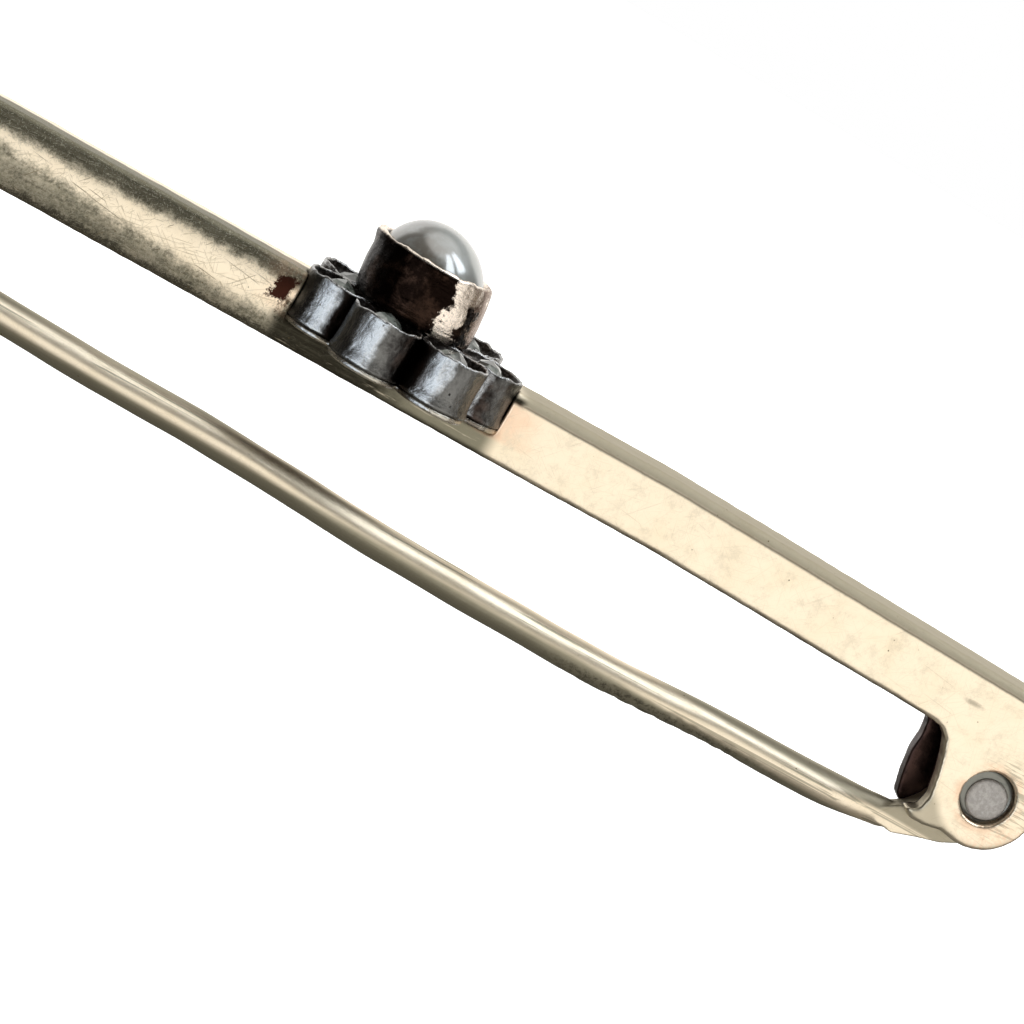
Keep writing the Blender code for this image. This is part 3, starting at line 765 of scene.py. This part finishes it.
def loft(name, rows, closed_ends=True):
    """A skin over rows of points, each row a closed ring with the same number of points, in millimetres."""
    solid = bmesh.new()
    rings = [[solid.verts.new(Vector(p) * MM) for p in row] for row in rows]
    for low, high in zip(rings, rings[1:]):
        for i in range(len(low)):
            j = (i + 1) % len(low)
            solid.faces.new((low[i], low[j], high[j], high[i]))
    if closed_ends:
        solid.faces.new(rings[0][::-1])
        solid.faces.new(rings[-1])
    bmesh.ops.recalc_face_normals(solid, faces=solid.faces)
    mesh = bpy.data.meshes.new(name)
    solid.to_mesh(mesh)
    solid.free()
    mesh.shade_smooth()
    return mesh


def turned_rows(profile, steps, centre, shape):
    """Rings about a vertical axis at centre. shape(angle, i, radius, z) gives a point's radius and height."""
    rows = []
    for i, (radius, z) in enumerate(profile):
        row = []
        for k in range(steps):
            angle = 2 * math.pi * k / steps
            r, height = shape(angle, i, radius, z)
            row.append((centre[0] + r * math.cos(angle), centre[1] + r * math.sin(angle), height))
        rows.append(row)
    return rows


# ---------------------------------------------------------------- the bar and its hinge


def make_bar(gold):
    mesh = remeshed("bar_worked", [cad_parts["bar"].data], 0.085, 3)
    points, normals = points_of(mesh)
    x, y, z = points.T
    drop = BEND_SLOPE * np.maximum(0.0, x - BEND_START)
    t = (z - drop) / BAR_HEIGHT
    on_bar = ramp(t, -0.1, 0.02)
    crown = (0.24 * ramp(x, 4.0, -8.0) + 0.05) * on_bar * ramp(-x, -26.0, -20.0)
    y_new = y * (1.0 - crown * (2.0 * t - 1.02) ** 2 / BAR_HALF_WIDTH)
    shoulder = np.where(t > 0.87, (t - 0.87) / 0.13, 0.0) * 0.13 * ramp(x, 4.0, 5.5)
    y_new *= 1.0 - np.clip(shoulder, 0, 0.3) / BAR_HALF_WIDTH
    points[:, 1] = y_new
    waves = 0.016 * roughness_of(points, 0.35, 1) + 0.007 * roughness_of(points, 1.3, 2)
    worked = 0.012 * roughness_of(points, 2.4, 3) * (ramp(t, 0.16, 0.02) + ramp(t, 0.9, 1.0))
    inside_fork = (np.abs(y) < 0.6) & (x > 25.0) & (t < 0.05)
    points += normals * np.where(inside_fork, 0.0, waves + worked)[:, None]
    set_points(mesh, points)
    new_piece("bar_worked", mesh, gold, BROOCH, "gold", "bar")


def stem_radius(x):
    if x > TAPER_START:
        return STEM_RADIUS
    return max(0.04, STEM_RADIUS * ((x - TAPER_END) / (TAPER_START - TAPER_END)) ** 0.6)


def make_stem(gold):
    route = np.array(STEM_ROUTE)[::-1]
    tip = np.linspace(TAPER_END + 0.06, TIP_START, TIP_STATIONS)[:-1]
    stations = np.concatenate([tip, np.linspace(TIP_START, WIRE_END, STEM_STATIONS)])
    centre = np.interp(stations, route[:, 0], route[:, 1])
    kernel = np.hanning(13)
    padded = np.pad(centre, 6, mode="edge")
    centre = np.convolve(padded, kernel / kernel.sum(), mode="valid")
    rows = []
    for x, z in zip(stations, centre):
        radius = stem_radius(x)
        pressed = ramp(np.float64(x), 23.2, 26.2)
        drawn = 1.0 - 0.55 * ramp(np.float64(x), 26.2, WIRE_END)
        ring = []
        for k in range(STEM_SIDES):
            angle = 2 * math.pi * k / STEM_SIDES
            spot = Vector((x * 0.35, math.cos(angle) * 1.2, math.sin(angle) * 1.2))
            flat = 1.0 - 0.035 * abs(math.sin(2 * angle)) ** 2 + 0.03 * noise.noise(spot)
            r = radius * flat
            width = 1.0 + (TANG_HALF_WIDTH / STEM_RADIUS - 1.0) * pressed
            flattened = (1.0 - 0.12 * pressed) * drawn
            ring.append((x, r * math.cos(angle) * width, z + r * math.sin(angle) * flattened))
        rows.append(ring)
    wire = loft("stem_wire_skin", rows)
    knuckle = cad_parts["stem_knuckle"].data.copy()
    points, _ = points_of(knuckle)
    tang_end = points[:, 0] < TANG_LEFT + 0.3
    points[tang_end, 2] = TANG_MIDDLE + (points[tang_end, 2] - TANG_MIDDLE) * 0.5
    set_points(knuckle, points)
    mesh = remeshed("stem_drawn", [wire, knuckle], 0.07, 6)
    points, normals = points_of(mesh)
    x, y, z = points.T
    waves = 0.012 * roughness_of(points * np.array([0.35, 1, 1]), 1.2, 5)
    patch = ramp(x, 10.0, 14.0) * ramp(-x, -22.5, -19.0) * ramp(-z, 5.2, 5.55)
    chewed = -0.05 * np.clip(roughness_of(points, 2.6, 6) + 0.15, 0.0, 1.0) * patch
    in_fork = (x > 26.3) & (np.abs(y) > 0.3)
    points += normals * np.where(in_fork, 0.0, waves + chewed)[:, None]
    set_points(mesh, points)
    new_piece("stem_drawn", mesh, gold, STEM, "stem_gold", "stem_wire", "stem_knuckle")


def make_catch(gold):
    for node in ("catch_plate", "catch_hook"):
        mesh = remeshed(node + "_worked", [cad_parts[node].data], 0.05, 4)
        points, normals = points_of(mesh)
        points += normals * (0.012 * roughness_of(points, 1.6, 8))[:, None]
        set_points(mesh, points)
        new_piece(node + "_worked", mesh, gold, BROOCH, "gold", node)


def make_rivet(metal):
    mesh = remeshed("rivet_peened", [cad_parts["hinge_rivet"].data], 0.045, 5)
    points, normals = points_of(mesh)
    x, y, z = points.T
    reach = np.hypot(x - HINGE_X, z - HINGE_Z)
    head = ramp(np.abs(y), 0.62, 0.8)
    shrink = 1.0 - 0.19 * head * ramp(reach, 0.4, 1.0)
    points[:, 0] = HINGE_X + (x - HINGE_X) * shrink + 0.13 * head
    points[:, 2] = HINGE_Z + (z - HINGE_Z) * shrink - 0.12 * head
    crown = 0.07 * np.clip(1.0 - (reach / 1.05) ** 2, 0.0, 1.0) * head
    points[:, 1] += np.sign(y) * (crown - 0.05 * head)
    points += normals * (0.016 * roughness_of(points, 1.6, 9))[:, None]
    set_points(mesh, points)
    new_piece("rivet_peened", mesh, metal, BROOCH, "rivet", "hinge_rivet")


# ---------------------------------------------------------------- the cluster


def petal_bearing(petal):
    return math.radians(FIRST_PETAL_ANGLE + petal * 360.0 / PETALS)


def petal_centre(petal):
    bearing = petal_bearing(petal)
    return RING_RADIUS * math.sin(bearing), -RING_RADIUS * math.cos(bearing)


def make_collet(petal, silver, cup):
    centre = petal_centre(petal)
    outward = math.atan2(centre[1], centre[0])
    seed = 10.0 + petal * 3.3

    def shape(angle, i, radius, z):
        around = Vector((math.cos(angle) * 1.3, math.sin(angle) * 1.3, seed))
        worn = Vector((math.cos(angle) * 4.5, math.sin(angle) * 4.5, z * 2.2 + seed))
        facing = 0.5 + 0.5 * math.cos(angle - outward)
        top = ramp(np.float64(z), 2.4, 3.2)
        wall = 0.045 * noise.noise(around + Vector((0, 0, z * 0.5))) + 0.022 * noise.noise(worn)
        rim = 0.07 * noise.noise(around * 2.2) + 0.05 * noise.noise(worn * 1.5)
        flare = 0.05 * facing * (1.0 - ramp(np.float64(z), 1.2, 1.7))
        if i > CUP_FIRST_RING + 1:
            wall, rim, flare = 0.3 * wall, 0.2 * rim, 0.0
        return radius + wall + flare, z + (rim + 0.10 * facing * (petal > 3)) * top

    rows = turned_rows(COLLET_PROFILE, COLLET_STEPS, centre, shape)
    name = f"collet_worked_{petal + 1}"
    mesh = loft(name, rows)
    new_piece(name, mesh, silver, BROOCH, "oxidised_silver", f"petal_collet_{petal + 1}")
    mesh.materials.append(cup)
    for face in mesh.polygons[CUP_FIRST_RING * COLLET_STEPS : -2]:
        face.material_index = 1


def make_stone(petal, glass):
    """A rose-cut stone, a little uneven and tilted in its setting."""
    draw = random.Random(40 + petal)
    centre = petal_centre(petal)
    solid = bmesh.new()
    for count, radius, z, spread in STONE_RINGS:
        turn = draw.uniform(0, math.pi)
        for i in range(count):
            angle = 2 * math.pi * i / count + turn
            r = radius * (1.0 - spread * draw.random())
            height = z + spread * draw.uniform(-0.6, 0.6)
            solid.verts.new(Vector((r * math.cos(angle), r * math.sin(angle), height)) * MM)
    bmesh.ops.convex_hull(solid, input=solid.verts)
    bmesh.ops.recalc_face_normals(solid, faces=solid.faces)
    bmesh.ops.bevel(
        solid, geom=solid.edges[:], offset=STONE_EDGE * MM, segments=1, affect="EDGES", clamp_overlap=True
    )
    mesh = bpy.data.meshes.new(f"stone_{petal + 1}")
    solid.to_mesh(mesh)
    solid.free()
    tilt = Matrix.Rotation(draw.uniform(-0.1, 0.1), 4, "X") @ Matrix.Rotation(draw.uniform(-0.1, 0.1), 4, "Y")
    mesh.transform(Matrix.Translation(Vector((*centre, STONE_Z)) * MM) @ tilt)
    new_piece(f"stone_{petal + 1}", mesh, glass, BROOCH, "diamond", f"rose_diamond_{petal + 1}")


def lobed_ring(reach, z, seed):
    """The cluster's outline as a ring of points, with arcs of the given radius about each petal's centre."""
    row = []
    half_turn = 180.0 / PETALS
    steps = 24
    for petal in range(PETALS):
        for k in range(steps):
            off = math.radians(half_turn * (2.0 * k / steps - 1.0))
            across = RING_RADIUS * math.sin(off)
            distance = RING_RADIUS * math.cos(off) + math.sqrt(max(0.02, reach**2 - across**2))
            bearing = petal_bearing(petal) + off
            distance += 0.03 * noise.noise(Vector((3 * math.sin(bearing), 3 * math.cos(bearing), seed)))
            row.append((distance * math.sin(bearing), -distance * math.cos(bearing), z))
    return row


def make_back_plate(silver):
    mesh = loft("back_plate_worked", [lobed_ring(reach, z, 3.0) for reach, z in BACK_PLATE_PROFILE])
    new_piece("back_plate_worked", mesh, silver, BROOCH, "oxidised_silver", "cluster_back_plate")


def lean(z):
    return BEZEL_X + BEZEL_LEAN * (z - BEZEL_BOTTOM)


def make_bezel(metal):
    def shape(angle, i, radius, z):
        around = Vector((math.cos(angle) * 1.6, math.sin(angle) * 1.6, 21.0))
        fine = Vector((math.cos(angle) * 6.5, math.sin(angle) * 6.5, z * 1.5))
        top = ramp(np.float64(z), 4.9, 5.6)
        outside = 1.0 if i < BEZEL_INNER_RING else 0.3
        left_lip = 0.10 * max(0.0, math.cos(angle - math.pi * 0.97)) ** 4 * top
        wall = 0.05 * noise.noise(around + Vector((0, 0, z * 0.8))) + 0.028 * noise.noise(fine)
        rim = 0.09 * noise.noise(around * 2.5 + Vector((0, 0, 5))) + 0.06 * noise.noise(fine * 1.3)
        return radius + outside * (wall + left_lip), z + rim * top

    rows = turned_rows(BEZEL_PROFILE, BEZEL_STEPS, (0.0, 0.0), shape)
    rows = [[(px + lean(pz), py, pz) for px, py, pz in row] for row in rows]
    mesh = loft("bezel_burnished", rows)
    new_piece("bezel_burnished", mesh, metal, BROOCH, "rose_gold", "pearl_bezel")


def make_pearl(nacre):
    """A button pearl: a round crown on a flat back, very slightly uneven."""
    back = BEZEL_BOTTOM + 0.03
    start = math.asin((back - PEARL_Z) / PEARL_RADIUS)
    profile = [(0.6, back), (1.2, back)]
    for i in range(PEARL_RINGS):
        angle = start + (math.radians(89.2) - start) * i / (PEARL_RINGS - 1)
        profile.append((PEARL_RADIUS * math.cos(angle), PEARL_Z + PEARL_RADIUS * math.sin(angle)))

    def shape(angle, i, radius, z):
        spot = Vector((radius * math.cos(angle) * 0.5, radius * math.sin(angle) * 0.5, z * 0.5))
        return radius * (1.0 + 0.008 * noise.noise(spot)), z

    rows = turned_rows(profile, PEARL_STEPS, (0.0, 0.0), shape)
    rows = [[(px + lean(pz), py, pz) for px, py, pz in row] for row in rows]
    mesh = loft("pearl_polished", rows)
    new_piece("pearl_polished", mesh, nacre, BROOCH, "pearl", "pearl")


# ---------------------------------------------------------------- the room


def make_world():
    """A pale room: white to the eye, with windows, a bright table and dark walls for the metal to reflect."""
    world = bpy.data.worlds.new("studio")
    bpy.context.scene.world = world
    world.use_nodes = True
    tree = world.node_tree
    graph = Graph(tree)
    background = tree.nodes["Background"]
    toward = tree.nodes.new("ShaderNodeTexCoord").outputs["Generated"]
    x, y, z = graph.split(toward)
    azimuth = graph.times(graph.math("ARCTAN2", x, graph.times(y, -1.0)), math.degrees(1.0))
    elevation = graph.times(graph.math("ARCSINE", z), math.degrees(1.0))
    sky = graph.mix(graph.step(elevation, -40.0, 60.0), (0.10, 0.095, 0.08), (0.55, 0.55, 0.52))
    for az0, az1, el0, el1, soft, colour, strength in ROOM_PATCHES:
        mask = graph.times(graph.band(azimuth, az0, az1, soft), graph.band(elevation, el0, el1, soft))
        sky = graph.mix(mask, sky, [channel * strength for channel in colour])
    seen = tree.nodes.new("ShaderNodeLightPath").outputs["Is Camera Ray"]
    graph.put(background.inputs["Color"], graph.mix(seen, sky, (1.0, 1.0, 1.0)))
    background.inputs["Strength"].default_value = 1.0


def make_floor():
    """A wide pale floor below everything that the stem can reach."""
    material, graph, shader = new_material("pale_floor")
    tone = graph.noise(graph.position(), 0.01, 2.0)
    graph.put(shader.inputs["Base Color"], graph.mix(tone, (0.93, 0.93, 0.93), (0.96, 0.96, 0.96)))
    shader.inputs["Roughness"].default_value = 0.9
    shader.inputs["Emission Color"].default_value = (1.0, 1.0, 1.0, 1.0)
    shader.inputs["Emission Strength"].default_value = 0.75
    rows = turned_rows(FLOOR_RINGS, FLOOR_STEPS, (0.0, 0.0), lambda angle, i, radius, z: (radius, z))
    mesh = loft("floor", rows, closed_ends=False)
    floor = bpy.data.objects.new("floor", mesh)
    bpy.context.scene.collection.objects.link(floor)
    mesh.materials.append(material)
    floor.visible_glossy = False


def make_lamp(name, place, target, size, watts):
    light = bpy.data.lights.new(name, "AREA")
    light.shape = "DISK"
    light.size = size
    light.energy = watts
    lamp = bpy.data.objects.new(name, light)
    lamp.location = Vector(place)
    lamp.visible_glossy = False
    lamp.rotation_euler = (Vector(target) - Vector(place)).to_track_quat("-Z", "Y").to_euler()
    bpy.context.scene.collection.objects.link(lamp)


def make_camera():
    camera = bpy.data.objects.new("camera", bpy.data.cameras.new("camera"))
    turn = Matrix((CAMERA_RIGHT, CAMERA_UP, -Vector(CAMERA_AHEAD))).transposed()
    camera.matrix_world = Matrix.Translation(Vector(CAMERA_PLACE) * MM) @ turn.to_4x4()
    camera.data.sensor_width = SENSOR_WIDTH
    camera.data.lens = SENSOR_WIDTH * FOCAL_SHARE
    camera.data.clip_start = 0.01
    camera.data.clip_end = 10.0
    bpy.context.scene.collection.objects.link(camera)
    bpy.context.scene.camera = camera


def main():
    bar_gold = bar_material()
    silver = silver_material("oxidised_silver_collets_with_painted_highlight", *COLLET_SILVER)
    plate_silver = silver_material("oxidised_silver_plate_with_painted_highlight", *PLATE_SILVER)
    cup = cup_material()
    make_bar(bar_gold)
    make_catch(catch_material())
    make_stem(stem_material())
    make_rivet(rivet_material())
    glass = stone_material()
    foil = foil_material()
    for petal in range(PETALS):
        make_collet(petal, silver, cup)
        make_stone(petal, glass)
        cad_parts[f"petal_foil_{petal + 1}"].data.materials.clear()
        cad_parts[f"petal_foil_{petal + 1}"].data.materials.append(foil)
    make_back_plate(plate_silver)
    make_bezel(bezel_material())
    make_pearl(pearl_material())
    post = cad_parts["gallery_post"].data
    post.materials.clear()
    post.materials.append(silver)
    make_world()
    make_floor()
    make_lamp("soft_key", (-0.25, -0.35, 0.55), (0, 0, 0), 0.35, 0.8)
    make_camera()
    bpy.context.scene.view_settings.view_transform = "Standard"


main()
